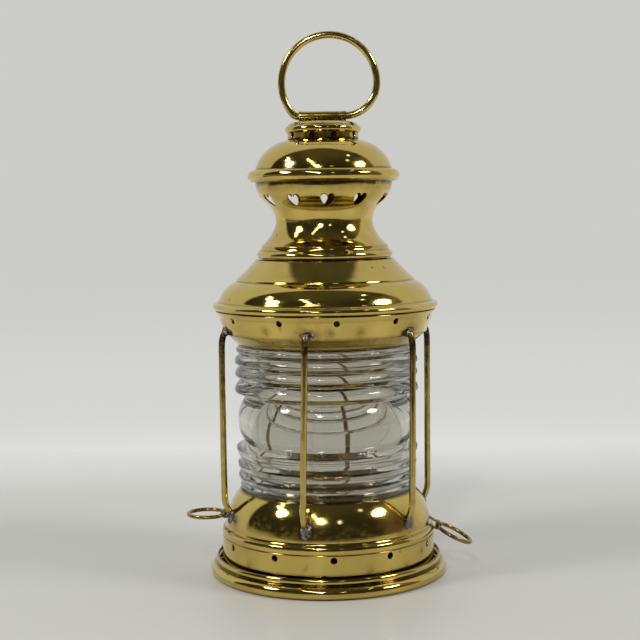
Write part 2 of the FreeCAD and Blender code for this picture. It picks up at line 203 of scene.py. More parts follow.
# ---- meshes --------------------------------------------------------------
def piece(name, verts, faces, angle=38):
    """Object from millimetre vertices, smooth but for edges sharper than the angle."""
    mesh = bpy.data.meshes.new(name)
    mesh.from_pydata([tuple(c * MM for c in v) for v in verts], [], faces)
    mesh.validate()
    obj = bpy.data.objects.new(name, mesh)
    bpy.context.scene.collection.objects.link(obj)
    return settle(obj, angle)


def settle(obj, angle=38):
    """Smooth shading, but for edges sharper than the angle."""
    obj.data.shade_smooth()
    obj.data.set_sharp_from_angle(angle=math.radians(angle))
    return obj


def bake(obj):
    """Applies the object's modifiers."""
    mesh = bpy.data.meshes.new_from_object(obj.evaluated_get(bpy.context.evaluated_depsgraph_get()))
    obj.modifiers.clear()
    obj.data = mesh
    return obj


def lathe(name, loop, segs=240, angle=38):
    """Closed (radius, height) outline turned about Z."""
    p = [tuple(q) for q in loop]
    area = sum(a[0] * b[1] - b[0] * a[1] for a, b in zip(p, p[1:] + p[:1]))
    if area < 0:
        p.reverse()
    turn = [(math.sin(math.tau * k / segs), -math.cos(math.tau * k / segs)) for k in range(segs)]
    verts, rows, faces = [], [], []
    for r, z in p:
        if r < 0.01:
            rows.append([len(verts)])
            verts.append((0, 0, z))
        else:
            rows.append(list(range(len(verts), len(verts) + segs)))
            verts += [(r * x, r * y, z) for x, y in turn]
    for a, b in zip(rows, rows[1:] + rows[:1]):
        for k in range(segs):
            n = (k + 1) % segs
            if len(a) > 1 and len(b) > 1:
                faces.append((a[k], a[n], b[n], b[k]))
            elif len(a) > 1:
                faces.append((a[k], a[n], b[0]))
            elif len(b) > 1:
                faces.append((a[0], b[n], b[k]))
    return piece(name, verts, faces, angle)


def tube(name, points, radius, sides=20, closed=False, angle=38):
    """Round tube through millimetre points; radius is a number or a function of the share."""
    pts = [Vector(p) for p in points]
    n = len(pts)
    ways = [(pts[(k + 1) % n] - pts[k - 1] if closed or 0 < k < n - 1 else
             (pts[1] - pts[0] if k == 0 else pts[-1] - pts[-2])).normalized() for k in range(n)]
    side = ways[0].orthogonal().normalized() if abs(ways[0].y) > 0.9 else \
        ways[0].cross(Vector((0, 1, 0))).normalized()
    verts, faces = [], []
    for k, (p, way) in enumerate(zip(pts, ways)):
        side = (side - way * side.dot(way)).normalized()
        other = way.cross(side)
        r = radius(k / (n - 1)) if callable(radius) else radius
        verts += [p + (side * math.cos(a) + other * math.sin(a)) * r
                  for a in (math.tau * j / sides for j in range(sides))]
    for k in range(n if closed else n - 1):
        a, b = k * sides, (k + 1) % n * sides
        faces += [(a + j, a + (j + 1) % sides, b + (j + 1) % sides, b + j) for j in range(sides)]
    if not closed:
        faces += [tuple(range(sides))[::-1], tuple(range((n - 1) * sides, n * sides))]
    return piece(name, verts, faces, angle)


def prism(outline, depth, place):
    """Verts and faces of an outline of (x, z) extruded along Y, then placed by a matrix."""
    n = len(outline)
    verts = [place @ Vector((x, y, z)) for y in depth for x, z in outline]
    faces = [tuple(range(n)), tuple(range(n, 2 * n))[::-1]]
    faces += [(k, k + n, (k + 1) % n + n, (k + 1) % n) for k in range(n)]
    return verts, faces


def turned_to(angle):
    """Turn about the lantern's axis, in degrees."""
    return Matrix.Rotation(math.radians(angle), 4, "Z")


def drill(r, z, surface, angle, sides=40):
    """Round radial cutter that opens out a little at the given surface radius."""
    spans = [(surface - 9, r), (surface - 0.3, r), (surface + 0.1, r + 0.28), (surface + 4, r + 0.6)]
    place = turned_to(angle)
    verts = [place @ Vector((q * math.cos(a), -y, z + q * math.sin(a))) for y, q in spans
             for a in (math.tau * k / sides for k in range(sides))]
    faces = [(a * sides + k, a * sides + (k + 1) % sides, (a + 1) * sides + (k + 1) % sides,
              (a + 1) * sides + k) for a in range(len(spans) - 1) for k in range(sides)]
    last = (len(spans) - 1) * sides
    return verts, faces + [tuple(range(sides))[::-1], tuple(range(last, last + sides))]


def merged(shapes):
    """One (verts, faces) of many."""
    verts, faces = [], []
    for v, f in shapes:
        faces += [tuple(i + len(verts) for i in face) for face in f]
        verts += v
    return verts, faces


def cut(obj, tools, angle=38):
    """Cuts a set of tools, each (verts, faces), out of an object."""
    tool = piece("tool", *merged(tools))
    for solid in (tool.data, obj.data):
        outward(solid)
    mod = obj.modifiers.new("cut", "BOOLEAN")
    mod.object, mod.operation, mod.solver = tool, "DIFFERENCE", "MANIFOLD"
    bake(obj)
    bpy.data.objects.remove(tool)
    return settle(obj, angle)


def outward(mesh):
    """Turns every face of a closed mesh outwards."""
    bm = bmesh.new()
    bm.from_mesh(mesh)
    bmesh.ops.recalc_face_normals(bm, faces=bm.faces)
    bm.to_mesh(mesh)
    bm.free()


def weigh(obj):
    """Gives large faces more say in the shading, so flats stay flat beside a bend."""
    mod = obj.modifiers.new("weigh", "WEIGHTED_NORMAL")
    mod.keep_sharp = True
    mod.weight = 80
    return bake(obj)


def paint(obj, name, value):
    """Point attribute whose value at each vertex is a function of its place in mm."""
    layer = obj.data.attributes.new(name, "FLOAT", "POINT")
    layer.data.foreach_set("value", [min(1.0, max(0.0, value(v.co / MM))) for v in obj.data.vertices])


def fit(obj, body, nodes, material):
    """Hands a finished piece to the frame."""
    obj.data.materials.clear()
    obj.data.materials.append(material)
    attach(obj, body)
    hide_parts(*nodes)
    return obj


def smooth(lo, hi, x):
    """0 at lo, 1 at hi, eased between."""
    t = min(1.0, max(0.0, (x - lo) / (hi - lo)))
    return t * t * (3 - 2 * t)


def at_angle(r, angle, z):
    """Point at a radius, an angle from the front, and a height."""
    a = math.radians(angle)
    return Vector((r * math.sin(a), -r * math.cos(a), z))


# ---- materials -----------------------------------------------------------
class Nodes:
    """Small helper round a material's node tree."""

    def __init__(self, name):
        self.material = bpy.data.materials.new(name)
        self.material.use_nodes = True
        self.tree = self.material.node_tree
        self.shader = self.tree.nodes["Principled BSDF"]
        self.place = self.add("ShaderNodeTexCoord").outputs["Object"]

    def add(self, kind, inputs=(), **facts):
        node = self.tree.nodes.new(kind)
        for key, value in facts.items():
            setattr(node, key, value)
        for key, value in dict(inputs).items():
            self.feed(node.inputs[key], value)
        return node

    def feed(self, socket, value):
        if isinstance(value, bpy.types.NodeSocket):
            self.tree.links.new(value, socket)
        else:
            socket.default_value = value

    def set(self, **values):
        for key, value in values.items():
            self.feed(self.shader.inputs[key.replace("_", " ")], value)

    def math(self, op, a, b=0.0, clamp=False):
        return self.add("ShaderNodeMath", {0: a, 1: b}, operation=op, use_clamp=clamp).outputs[0]

    def noise(self, scale, detail=3.0, vector=None, rough=0.55, warp=0.0):
        return self.add("ShaderNodeTexNoise", {"Vector": vector or self.place, "Scale": scale,
                                               "Detail": detail, "Roughness": rough,
                                               "Distortion": warp}).outputs["Fac"]

    def span(self, value, a, b, lo=0.0, hi=1.0):
        return self.add("ShaderNodeMapRange", {"Value": value, "From Min": a, "From Max": b,
                                               "To Min": lo, "To Max": hi}).outputs["Result"]

    def mix(self, share, a, b):
        node = self.add("ShaderNodeMix", data_type="RGBA")
        self.feed(node.inputs["Factor"], share)
        self.feed(node.inputs[6], a)
        self.feed(node.inputs[7], b)
        return node.outputs[2]

    def attribute(self, name):
        return self.add("ShaderNodeAttribute", attribute_name=name).outputs["Fac"]

    def turned(self, around, along):
        """Coordinates that run slowly round the lathe axis and quickly along it."""
        parts = self.add("ShaderNodeSeparateXYZ", {0: self.place})
        x, y, z = parts.outputs
        radius = self.math("SQRT", self.math("ADD", self.math("MULTIPLY", x, x),
                                             self.math("MULTIPLY", y, y)))
        height = self.math("ADD", self.math("MULTIPLY", z, along), self.math("MULTIPLY", radius, along))
        return self.add("ShaderNodeCombineXYZ", {0: self.math("MULTIPLY", x, around),
                                                 1: self.math("MULTIPLY", y, around),
                                                 2: height}).outputs[0]

    def bump(self, height, distance, strength=1.0, normal=None):
        node = self.add("ShaderNodeBump", {"Height": height, "Distance": distance,
                                           "Strength": strength})
        if normal:
            self.feed(node.inputs["Normal"], normal)
        return node.outputs["Normal"]


BRASS, AGED, GRIME_AND_SHADE = (0.68, 0.51, 0.138, 1), (0.33, 0.2, 0.062, 1), (0.035, 0.025, 0.015, 1)


def brass_shell(name="brass_shell", aged=0.38, rough=0.055):
    """Polished spun brass: spin lines, faint blotches, brown specks, and where the attributes say, grime
    mixed with painted shade in the creases.
    """
    m = Nodes(name)
    blotch = m.span(m.noise(34, 6, warp=0.7, rough=0.62), 0.42, 0.80)
    cell = m.add("ShaderNodeTexVoronoi", {"Vector": m.place, "Scale": 170.0, "Randomness": 1.0})
    lucky = m.add("ShaderNodeSeparateColor", {0: cell.outputs["Color"]}).outputs[0]
    speck = m.math("MULTIPLY", m.span(cell.outputs["Distance"], 0.10, 0.17, 1, 0),
                   m.math("GREATER_THAN", lucky, 0.90))
    # The stain and grime attributes carry painted shade in the creases and under the beads, as well as real
    # stains and grime.
    stain_and_shade, grime_and_shade = m.attribute("stain_and_shade"), m.attribute("grime_and_shade")
    broken = m.noise(420, 4)
    stained_and_shaded = m.math("MULTIPLY", stain_and_shade, m.span(broken, 0.25, 0.6), True)
    age_and_shade = m.math("ADD", m.math("MULTIPLY", blotch, aged), m.math("MULTIPLY", speck, 0.75))
    age_and_shade = m.math("ADD", age_and_shade, stained_and_shaded, True)
    dirt_and_shade = m.math("MULTIPLY", grime_and_shade, m.span(broken, 0.15, 0.55, 0.35, 1.0), True)
    m.set(Base_Color=m.mix(dirt_and_shade, m.mix(age_and_shade, BRASS, AGED), GRIME_AND_SHADE), Metallic=1.0)
    wear = m.span(m.noise(70, 6, rough=0.65), 0.42, 0.72, 0.0, 0.05)
    m.set(Roughness=m.math("ADD", m.math("ADD", wear, rough), m.math("MULTIPLY", age_and_shade, 0.16)))
    lines = m.span(m.noise(1.0, 3, m.turned(60, 5200)), 0.48, 0.8)
    waves = m.noise(1.0, 2, m.turned(22, 34))
    m.set(Normal=m.bump(lines, 0.000009, 0.8, m.bump(waves, 0.00035, 0.3)))
    return m.material


def brass_wire(name="brass_wire", tone=(0.60, 0.46, 0.145, 1), aged=0.6, rough=0.17):
    """Drawn wire: lengthwise scratches, patchy tarnish, burnt where painted."""
    m = Nodes(name)
    patch = m.span(m.noise(160, 5, warp=0.4), 0.45, 0.72)
    burnt = m.math("MULTIPLY", m.attribute("grime_and_shade"), m.span(m.noise(380, 4), 0.28, 0.5), True)
    m.set(Base_Color=m.mix(burnt, m.mix(m.math("MULTIPLY", patch, aged), tone, AGED), GRIME_AND_SHADE),
          Metallic=1.0)
    m.set(Roughness=m.math("ADD", m.span(m.noise(300, 4), 0.3, 0.75, rough * 0.6, rough * 1.7),
                           m.math("MULTIPLY", burnt, 0.2)))
    m.set(Normal=m.bump(m.noise(500, 2), 0.000002, 0.5, m.bump(m.noise(60, 2), 0.0001, 0.2)))
    return m.material


def brass_tarnished():
    """Brown handled brass of the lash rings and straps."""
    m = Nodes("brass_tarnished")
    patch = m.span(m.noise(210, 5, warp=0.5), 0.40, 0.68)
    dark = m.mix(m.attribute("grime_and_shade"), (0.30, 0.19, 0.075, 1), (0.075, 0.055, 0.035, 1))
    m.set(Base_Color=m.mix(patch, dark, (0.50, 0.36, 0.13, 1)), Metallic=1.0)
    m.set(Roughness=m.span(m.noise(350, 4), 0.3, 0.7, 0.16, 0.34))
    m.set(Normal=m.bump(m.noise(700, 4), 0.00003, 0.7, m.bump(m.noise(190, 2), 0.00025, 0.35)))
    return m.material


def brass_dull():
    """Unpolished brass inside the lamp: the fount, burner and collar."""
    m = Nodes("brass_dull")
    patch = m.span(m.noise(60, 6, warp=0.5), 0.38, 0.7)
    tone = m.mix(patch, (0.56, 0.41, 0.15, 1), (0.30, 0.19, 0.08, 1))
    m.set(Base_Color=m.mix(m.attribute("grime_and_shade"), tone, GRIME_AND_SHADE), Metallic=1.0)
    m.set(Roughness=m.span(m.noise(200, 4), 0.3, 0.7, 0.2, 0.42))
    m.set(Normal=m.bump(m.noise(1.0, 2, m.turned(60, 3000)), 0.00001, 0.6))
    return m.material


def clear_glass():
    """Pressed glass: faint green, ripples from the mould, fine scratches round the rings."""
    m = Nodes("clear_glass")
    m.set(Base_Color=(0.75, 0.735, 0.665, 1), Transmission_Weight=1.0, Roughness=0.0, IOR=1.5)
    ripple = m.bump(m.noise(1.0, 2, m.turned(45, 60)), 0.0004, 0.16)
    m.set(Normal=m.bump(m.noise(1.0, 3, m.turned(30, 2400)), 0.000006, 0.5, ripple))
    return m.material


def solder():
    """Lumpy grey solder with dark flux in its hollows."""
    m = Nodes("solder")
    patch = m.span(m.noise(420, 5, warp=0.8), 0.42, 0.62)
    m.set(Base_Color=m.mix(patch, (0.33, 0.33, 0.325, 1), (0.05, 0.045, 0.04, 1)), Metallic=0.9)
    m.set(Roughness=m.span(m.noise(600, 3), 0.35, 0.7, 0.24, 0.55))
    m.set(Normal=m.bump(m.noise(900, 4), 0.00012, 0.8))
    return m.material


def cotton():
    """Woven wick: rows of twill, oiled brown low down and charred at the top."""
    m = Nodes("cotton")
    weave = m.add("ShaderNodeTexWave", {"Vector": m.place, "Scale": 260.0, "Distortion": 1.5,
                                        "Detail": 2.0}, wave_type="BANDS", bands_direction="DIAGONAL")
    height = m.add("ShaderNodeSeparateXYZ", {0: m.place}).outputs[2]
    char = m.span(height, 0.0555, 0.0582)
    cloth = m.mix(m.span(m.noise(150, 4), 0.35, 0.7), (0.62, 0.53, 0.38, 1), (0.42, 0.32, 0.19, 1))
    m.set(Base_Color=m.mix(char, cloth, (0.02, 0.018, 0.016, 1)), Roughness=0.95, Sheen_Weight=0.3)
    m.set(Normal=m.bump(weave.outputs["Fac"], 0.0003, 0.9))
    return m.material


SHELL, WIRE, TARNISHED = brass_shell(), brass_wire(), brass_tarnished()
DULL, GLASS, SOLDER, COTTON = brass_dull(), clear_glass(), solder(), cotton()


# ---- painted dirt and painted shade --------------------------------------
def spots(z, r, side):
    """Places of the solder lumps at the guards' feet (side 0) or heads (side 1)."""
    return [at_angle(r, pair[side] + 1.2, z) for pair in GUARDS]


LUMPS = spots(31.5, 51.4, 0) + spots(126.4, 52.0, 1)


def near(points, reach, p):
    """1 at the nearest of the points, fading over the reach."""
    return max(math.exp(-((p - q).length / reach) ** 2) for q in points)


def grime_shade_bands(*rows):
    """Grime and painted shade at set heights, each (height, half width, strength): dark lines in the
    creases, under the beads and rolls.
    """
    return lambda p: max(k * math.exp(-((p.z - z) / w) ** 2) for z, w, k in rows)


def dress(obj, *rows, marks=()):
    """Heat stain round the solder, grime and painted shade in the seams and under the beads, and marks of
    (r, angle, z, reach).
    """
    seam_grime_shade = grime_shade_bands(*rows)
    dots = [(at_angle(r, a, z), reach) for r, a, z, reach in marks]

    def mark(p):
        return max([0.0] + [math.exp(-((p - q).length / reach) ** 2) for q, reach in dots])
    # The seam bands paint shade in the creases, as dark grime and as brown stain.
    paint(obj, "stain_and_shade", lambda p: 0.75 * near(LUMPS, 7.0, p) + 0.4 * seam_grime_shade(p) + 0.7 * mark(p))
    paint(obj, "grime_and_shade", lambda p: max(0.8 * near(LUMPS, 3.5, p), seam_grime_shade(p), 0.3 * mark(p) ** 2))


# ---- tray ----------------------------------------------------------------
tray = weigh(lathe("tray_pan_shell", sheet_loop(TRAY, 1.0)))
# Dark bands: painted shade at the pan's foot on the floor and in the groove under the rim's bead, with some
# grime.
dress(tray, (6.5, 0.55, 1.0), (0.1, 0.6, 0.7), (9.9, 0.5, 0.7), (3.0, 1.2, 0.12))
fit(tray, "tray", ["tray_pan"], SHELL)


def block(w, d, z0, z1, x=0.0, y=0.0, angle=0.0, about=0.0):
    """Box cutter of width w and depth d, carried round by an angle."""
    place = turned_to(angle) @ Matrix.Translation((x, about + y, 0))
    return prism([(-w / 2, z0), (w / 2, z0), (w / 2, z1), (-w / 2, z1)], (-d / 2, d / 2), place)


collar = lathe("tray_collar_ring", eased([(52.6, 3.0), (53.2, 3.0), (53.2, 15.5), (52.6, 15.5)], 0.15))
slits = [block(0.8, 8, 6, 17, about=-52.9, angle=45 + 90 * k + side) for k in range(4)
         for side in (-6.5, 6.5)]
cut(collar, slits)
paint(collar, "grime_and_shade", lambda p: 0.9)
fit(collar, "tray", ["tray_collar"], DULL)

fount = lathe("fount_tank", sheet_loop([(0, 3.02), (33.5, 3.02), ((35.3, 3.9), (36.0, 5.8)), (36.0, 19.0),
                                        ((34.5, 23.2), (30.5, 25.2)), (15.2, 28.5), (13.9, 28.5)], 0.8))
fit(weigh(fount), "tray", ["fount_body"], DULL)
neck = lathe("fount_neck_ring", eased([(12.13, 27.6), (13.65, 27.6), (13.65, 28.6), (15.2, 28.6),
                                       (15.2, 30.2), (13.9, 30.2), (13.9, 33.0), (12.13, 33.0)], 0.2))
fit(neck, "tray", ["fount_neck"], DULL)

drum = lathe("burner_drum", eased([(0, 25.0), (12.1, 25.0), (12.1, 33.02), (15.5, 33.02), (15.5, 34.4),
                                   (10.6, 34.4), (10.6, 42.6), (0, 42.6)], 0.2), 96)
cut(drum, [block(14.64, 4.44, 20, 50)])
fit(drum, "tray", ["burner_body"], DULL)
tube_loop = [block(14.6, 4.4, 24, 54)]
sleeve_box = piece("wick_tube_box", *tube_loop[0])
cut(sleeve_box, [block(13.4, 3.2, 0, 80)])
fit(sleeve_box, "tray", ["wick_tube"], DULL)
cone = lathe("burner_cone_dome", sheet_loop([(10.7, 42.7), (13.6, 42.7), (13.6, 46.5),
                                             ((11.6, 53.0), (6.2, 56.9)), ((3.2, 57.7), (0, 57.9))],
                                            0.6, 0.2), 144)
cut(cone, [block(15.6, 5.4, 50, 60)] + [drill(1.1, 45.0, 13.6, 30 * k + 15, 20) for k in range(12)])
fit(cone, "tray", ["burner_cone"], DULL)


def woven_bar(name, w, d, z0, z1):
    """Flat wick, its long edges rounded and its faces ribbed."""
    rows, cols = 90, 40
    verts, faces = [], []
    for j in range(rows + 1):
        z = z0 + (z1 - z0) * j / rows
        for k in range(cols):
            a = math.tau * k / cols
            x, y = math.cos(a), math.sin(a)
            x = math.copysign(abs(x) ** 0.35, x) * w / 2
            y = math.copysign(abs(y) ** 0.6, y) * d / 2
            rib = 1 - 0.05 * (0.5 + 0.5 * math.cos(x * 7.5)) - 0.03 * (0.5 + 0.5 * math.cos(z * 9 + x * 4))
            verts.append((x, y * rib, z))
    for j in range(rows):
        a, b = j * cols, (j + 1) * cols
        faces += [(a + k, a + (k + 1) % cols, b + (k + 1) % cols, b + k) for k in range(cols)]
    faces += [tuple(range(cols))[::-1], tuple(range(rows * cols, (rows + 1) * cols))]
    return piece(name, verts, faces, 60)


fit(woven_bar("wick_cloth", 12.8, 2.4, 16.0, 58.5), "wick_body", ["wick"], COTTON)


def along_x(obj, y, z):
    """Lays a piece turned about Z along X through (y, z), its foot at -X."""
    obj.data.transform(Matrix.Translation((0, y * MM, z * MM)) @ Matrix.Rotation(math.pi / 2, 4, "Y"))
    return obj


spindle = lathe("raiser_spindle_rod", eased([(0, -11.6), (1.0, -11.6), (1.0, 28.6), (0, 28.6)], 0.25), 32)
fit(along_x(spindle, SPINDLE_Y, SPINDLE_Z), "spindle", ["raiser_spindle"], DULL)


def knurled_knob():
    """Disc on the spindle's end, its rim a wave of small teeth."""
    n = KNOB_SEGS
    knurl = [KNOB_R + 0.15 * math.cos(KNOB_TEETH * math.tau * k / n) for k in range(n)]
    ring = [(r * math.cos(math.tau * k / n), r * math.sin(math.tau * k / n))
            for k, r in enumerate(knurl)]
    rows = [(26.0, 0.90), (26.15, 0.97), (26.4, 1.0), (27.8, 1.0), (28.05, 0.97), (28.2, 0.90),
            (28.2, 0.6), (27.95, 0.5), (27.95, 0.19), (26.0, 0.19)]          # x, share of the rim
    verts = [(x, SPINDLE_Y + a * share, SPINDLE_Z + b * share) for x, share in rows for a, b in ring]
    starts = [(i * n, (i + 1) % len(rows) * n) for i in range(len(rows))]
    faces = [(a + k, a + (k + 1) % n, b + (k + 1) % n, b + k) for a, b in starts for k in range(n)]
    knob = piece("raiser_knob_disc", verts, faces, 30)
    outward(knob.data)
    return knob


fit(knurled_knob(), "spindle", ["raiser_knob"], DULL)
frame["nodes"]["sprockets"].data.materials.clear()
frame["nodes"]["sprockets"].data.materials.append(DULL)


# ---- housing -------------------------------------------------------------
base = lathe("base_shell_spun", sheet_loop(BASE, 0.8))
vents = [drill(*BAND_HOLE, BAND_R, a) for a in BAND_HOLES]
arch = [(NOTCH[0] * math.cos(a), NOTCH[1] + NOTCH[0] * math.sin(a))
        for a in (math.pi * k / 16 for k in range(17))]
arch += [(-NOTCH[0], 0.0), (NOTCH[0], 0.0)]
notches = [prism(arch, (-60, -48), turned_to(t)) for t in (-2.5, 177.5)]
weigh(cut(base, vents + notches))
# Dark bands: painted shade in the trough above the tray's rim, under and above the bead and where the
# shoulder meets the seat, with some grime.
dress(base, (20.55, 0.3, 0.6), (24.8, 0.4, 0.55), (43.95, 0.5, 0.9), (9.9, 0.8, 0.7),
      marks=[(54.7, -46, 12, 1.8), (54.7, 21, 12, 2.2), (54.7, 44, 11, 1.4), (54.7, -12, 14.5, 1.2),
             (54.7, 58, 16.5, 2.0), (51.5, 41, 32, 5.0), (51.5, -64, 31, 4.0), (52.5, 80, 29, 4.5),
             (54.7, 150, 13, 2.4), (54.7, 240, 12, 2.0), (47, 30, 41, 2.2)])
fit(base, "housing", ["base_shell"], SHELL)

lower = eased([(37.4, 41.0), (38.2, 41.0), (38.2, 42.3), (43.6, 42.3), (43.6, 43.18), (38.2, 43.18),
               (38.2, 48.0), (37.4, 48.0)], 0.2)
fit(lathe("lens_seat_lower_ring", lower), "housing", ["lens_seat_lower"], DULL)
seat = weigh(lathe("lens_seat_cone", sheet_loop(SEAT_CONE, -0.6, 0.25)))
# Painted shade: the downward-facing seat cone is darkened all round, darkest at its edges, with some grime.
dress(seat, (118.0, 1.4, 0.6), (122.0, 4.0, 0.3), (125.6, 1.4, 0.85))
fit(seat, "housing", ["lens_seat_upper"], SHELL)

skirt = lathe("skirt_ring_spun", sheet_loop(SKIRT, 0.7))
weigh(cut(skirt, [drill(*SKIRT_HOLE, 54.4, a) for a in SKIRT_HOLES]))
# Dark bands: painted shade in the groove under the roof's roll and along the skirt's edges, with some grime.
dress(skirt, (136.2, 0.4, 0.8), (133.3, 0.2, 0.5), (124.5, 0.35, 0.6),
      marks=[(53.9, -24.2, 130.6, 0.9), (53.5, -24, 129.4, 0.7), (52.8, -33, 128.6, 2.6),
             (52.8, 18, 128.2, 2.6), (53.0, 2, 128, 2.4), (53, 120, 128.5, 3), (53, 200, 129, 2.5)])
fit(skirt, "housing", ["skirt_ring"], SHELL)

roof = weigh(lathe("roof_shell_spun", sheet_loop(ROOF, 0.8)))
# Dark bands: painted shade under the roll and in the steps, and a painted shadow line under the chimney's
# foot, with some grime.
dress(roof, (136.35, 0.35, 0.8), (140.6, 0.35, 0.4), (151.0, 0.35, 0.45), (161.75, 0.35, 0.9))
fit(roof, "housing", ["roof_shell"], SHELL)


def heart():
    """Outline of a heart, its point down."""
    w, h, z0 = HEART_HALF, HEART_H, HEART_FOOT
    pts = [(0, z0), (w, z0 + 0.62 * h), (w * 0.55, z0 + h), (0, z0 + 0.76 * h)]
    mids = [(w * 0.62, z0 + 0.24 * h), (w * 0.93, z0 + 0.9 * h), (w * 0.17, z0 + 0.93 * h)]
    half = trace([pts[0]] + list(zip(mids, pts[1:])), 0.4)
    return [tuple(p) for p in half] + [(-x, z) for x, z in half[-2:0:-1]]


chimney = lathe("chimney_spun", sheet_loop(CHIMNEY, 0.8))
weigh(cut(chimney, [prism(heart(), (-44, -20), turned_to(k)) for k in HEARTS]))
# Dark bands: a painted shadow line at the foot and painted shade under the cap's bead, mixed with brown
# stains there; the marks are brown stains.
dress(chimney, (162.4, 0.4, 0.95), (166.3, 0.35, 0.45), (200.2, 1.0, 0.95), (198.0, 2.2, 0.25),
      marks=[(34.6, -50, 198.4, 1.3), (34.9, -9, 199.4, 1.2), (34.7, -27, 198.6, 1.0),
             (34.8, 22, 199.2, 1.0), (34.8, 140, 198.8, 1.6), (34.6, 215, 198.2, 1.4)])
fit(chimney, "housing", ["chimney"], SHELL)

cap = weigh(lathe("cap_dome_spun", sheet_loop(CAP, 0.8)))
# Dark bands: painted shade under and above the bead and at the seam with the crown, with some grime.
dress(cap, (200.8, 0.6, 0.8), (207.2, 0.5, 0.7), (222.05, 0.4, 0.85))
fit(cap, "housing", ["cap_dome"], SHELL)

crown = lathe("crown_collar_spun", sheet_loop(CROWN, 0.7), 200)
weigh(cut(crown, [drill(*CROWN_HOLE, 18.1, a) for a in CROWN_HOLES]))
# Dark bands: painted shade at the foot and in the creases of the roll, with some grime.
dress(crown, (222.2, 0.5, 0.85), (225.3, 0.4, 0.75), (229.1, 0.4, 0.45))
fit(crown, "housing", ["crown_collar"], SHELL)


# ---- glass ---------------------------------------------------------------
def lens_loop():
    """Outline of the glass: rings of (tip r, z, root r, z) above and below a plain belt."""
    upper = [(47.2, 94.8, 43.8, 100.2), (46.9, 102.9, 44.0, 107.2), (47.0, 109.3, 44.2, 113.4),
             (46.2, 115.3, 43.9, 117.8)]
    lower = [(46.7, 65.6, 43.4, 59.7), (46.1, 57.8, 43.2, 53.2), (45.8, 51.6, 42.9, 47.6),
             (44.9, 46.4, 42.6, 44.7)]
    path = [(LENS_BORE, LENS_FOOT), (42.6, LENS_FOOT)]
    for tip_r, tip_z, root_r, root_z in reversed(lower):
        path += [(root_r, root_z), (((tip_r + root_r) / 2 + 0.75, (tip_z + root_z) / 2 - 0.5),
                                    (tip_r, tip_z)), (tip_r - 0.2, tip_z + 0.35)]
    path += [(41.7, 68.0), ((45.8, 79.8), (41.5, 91.8))]
    for tip_r, tip_z, root_r, root_z in upper:
        path += [(tip_r - 0.2, tip_z - 0.35), (tip_r, tip_z),
                 (((tip_r + root_r) / 2 + 0.75, (tip_z + root_z) / 2 + 0.5), (root_r, root_z))]
    return eased(trace(path + [(LENS_BORE, LENS_TOP), (LENS_BORE, LENS_FOOT)], 0.7)[:-1], 0.45)


lens = weigh(lathe("fresnel_lens_glass", lens_loop(), 288, 180))
fit(lens, "housing", ["fresnel_lens"], GLASS)


# ---- wires and solder ----------------------------------------------------
def bezier(a, b, c, n):
    """Points of a quadratic curve from a to c, pulled towards b."""
    return [a * (1 - t) ** 2 + b * 2 * t * (1 - t) + c * t * t for t in (k / n for k in range(n + 1))]


def guard(k, foot, head):
    """Upright wire from the shoulder to the skirt, bent in at both ends."""
    def at(r, z):
        return at_angle(r, foot + (head - foot) * (z - GUARD_FOOT) / (GUARD_HEAD - GUARD_FOOT), z)
    line = [at(GUARD_R, 43 + 74 * j / 40) for j in range(1, 40)]
    path = bezier(at(50.4, 31.9), at(GUARD_R, 36.2), at(GUARD_R, 43), 14) + line
    path += bezier(at(GUARD_R, 117), at(GUARD_R, 123.2), at(53.0, GUARD_HEAD), 12)
    for p in path:
        sway = [noise.noise(Vector((k * 9.1, row, p.z * 0.035))) for row in (2.3, 7.6)]
        p += Vector((*sway, 0)) * 0.16
    obj = tube("guard_wire_%d_rod" % k, path,
               lambda t: GUARD_WIRE * (1 + 0.02 * noise.noise(Vector((k * 3.3, t * 14, 0)))))
    paint(obj, "grime_and_shade", lambda p: max(smooth(106, 122, p.z), 0.9 * smooth(37, 32, p.z)))
    return fit(obj, "housing", ["guard_wire_%d" % k], WIRE)


for number, (foot_angle, head_angle) in enumerate(GUARDS, 1):
    guard(number, foot_angle, head_angle)


def lump(centre, size, seed, squash):
    """Ball of solder, lumpy, flattened towards the lantern's axis."""
    out = Vector((centre.x, centre.y, 0)).normalized()
    across = UP.cross(out)
    rows, cols = 22, 30
    verts, faces = [], []
    for j in range(rows + 1):
        for k in range(cols):
            a, b = math.tau * k / cols, math.pi * j / rows
            way = out * (math.sin(b) * math.cos(a)) + across * (math.sin(b) * math.sin(a)) + UP * math.cos(b)
            r = size * (1 + 0.30 * noise.noise(way * 1.7 + Vector((seed, 0, 0))) +
                        0.13 * noise.noise(way * 4.5 + Vector((0, seed, 0))))
            verts.append(centre + out * (way.dot(out) * r * squash[0]) +
                         across * (way.dot(across) * r * squash[1]) + UP * (way.z * r * squash[2]))
    for j in range(rows):
        a, b = j * cols, (j + 1) * cols
        faces += [(a + k, b + k, b + (k + 1) % cols, a + (k + 1) % cols) for k in range(cols)]
    return verts, faces


def lumps(name, side, r, z, sizes):
    """One lump for each guard, its (outwards, across, up) half sizes given in mm."""
    shapes = [lump(at_angle(r, pair[side] + 1.0, z), 1.0, 3.7 * k + z, squash)
              for k, (pair, squash) in enumerate(zip(GUARDS, sizes))]
    obj = piece(name, *merged(shapes), 180)
    return fit(obj, "housing", [name.removesuffix("_lump")], SOLDER)


lumps("guard_solder_lower_lump", 0, 51.4, 31.4,
      [(2.5, 2.6, 3.0), (2.7, 3.0, 3.6), (2.6, 2.9, 3.3), (2.6, 3, 3.2), (2.6, 3.1, 3.4), (2.5, 2.9, 3.2)])
lumps("guard_solder_upper_lump", 1, 52.2, 126.5,
      [(2.2, 2.4, 2.3), (2.2, 3.3, 1.9), (2.3, 2.7, 2.6), (2.1, 3, 2), (2.2, 2.9, 2.1), (2.1, 3.1, 1.9)])


